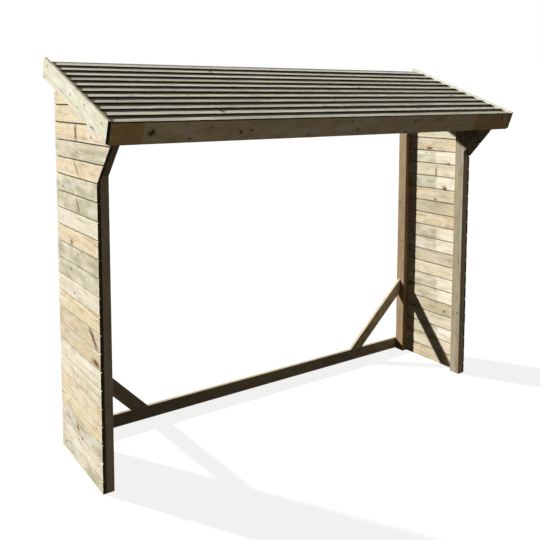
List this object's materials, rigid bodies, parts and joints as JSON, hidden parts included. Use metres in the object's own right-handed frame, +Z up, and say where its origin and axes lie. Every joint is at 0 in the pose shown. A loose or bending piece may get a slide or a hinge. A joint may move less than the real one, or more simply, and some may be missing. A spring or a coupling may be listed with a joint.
{
  "type": "log store",
  "caption": "Open-fronted wooden log store with boarded end walls, front posts with leaning brackets, a low rear rail with braces and a lean-to slatted roof",
  "frame": {"origin": "centre of the bounding box on the ground plane", "axes": "+X along the width to the right as seen from the open front, +Y from the front to the back, +Z up"},
  "size_m": [2.554, 0.845, 1.972],
  "materials": {
    "wall_boards": "rough sawn pressure treated softwood boards, pale and mottled with knots and grey-green tint",
    "frame_timber": "sawn pressure treated softwood, olive brown",
    "bargeboards": "sawn softwood trim, pale cream brown",
    "roof_slats": "sawn softwood weatherboards, grey beige with yellow brown stains",
    "fascia": "sawn softwood trim, mid brown",
    "roof_framing": "sawn softwood, plain brown"
  },
  "bodies": {
    "root": {"left_front_post": "frame_timber", "left_back_post": "frame_timber", "left_front_bracket": "frame_timber", "left_wall_lower_boards": "wall_boards", "left_wall_middle_boards": "wall_boards", "left_wall_upper_boards": "wall_boards", "left_bargeboard": "bargeboards", "left_rear_brace": "frame_timber", "left_end_rafter": "roof_framing", "left_middle_rafter": "roof_framing", "right_front_post": "frame_timber", "right_back_post": "frame_timber", "right_front_bracket": "frame_timber", "right_wall_lower_boards": "wall_boards", "right_wall_middle_boards": "wall_boards", "right_wall_upper_boards": "wall_boards", "right_bargeboard": "bargeboards", "right_rear_brace": "frame_timber", "right_end_rafter": "roof_framing", "right_middle_rafter": "roof_framing", "roof_slat_01": "roof_slats", "roof_slat_02": "roof_slats", "roof_slat_03": "roof_slats", "roof_slat_04": "roof_slats", "roof_slat_05": "roof_slats", "roof_slat_06": "roof_slats", "roof_slat_07": "roof_slats", "roof_slat_08": "roof_slats", "roof_slat_09": "roof_slats", "roof_slat_10": "roof_slats", "roof_slat_11": "roof_slats", "front_fascia": "fascia", "rear_trimmer": "roof_framing", "front_header": "roof_framing", "rear_top_rail": "roof_framing", "rear_bottom_rail": "frame_timber"}
  },
  "joints": []
}
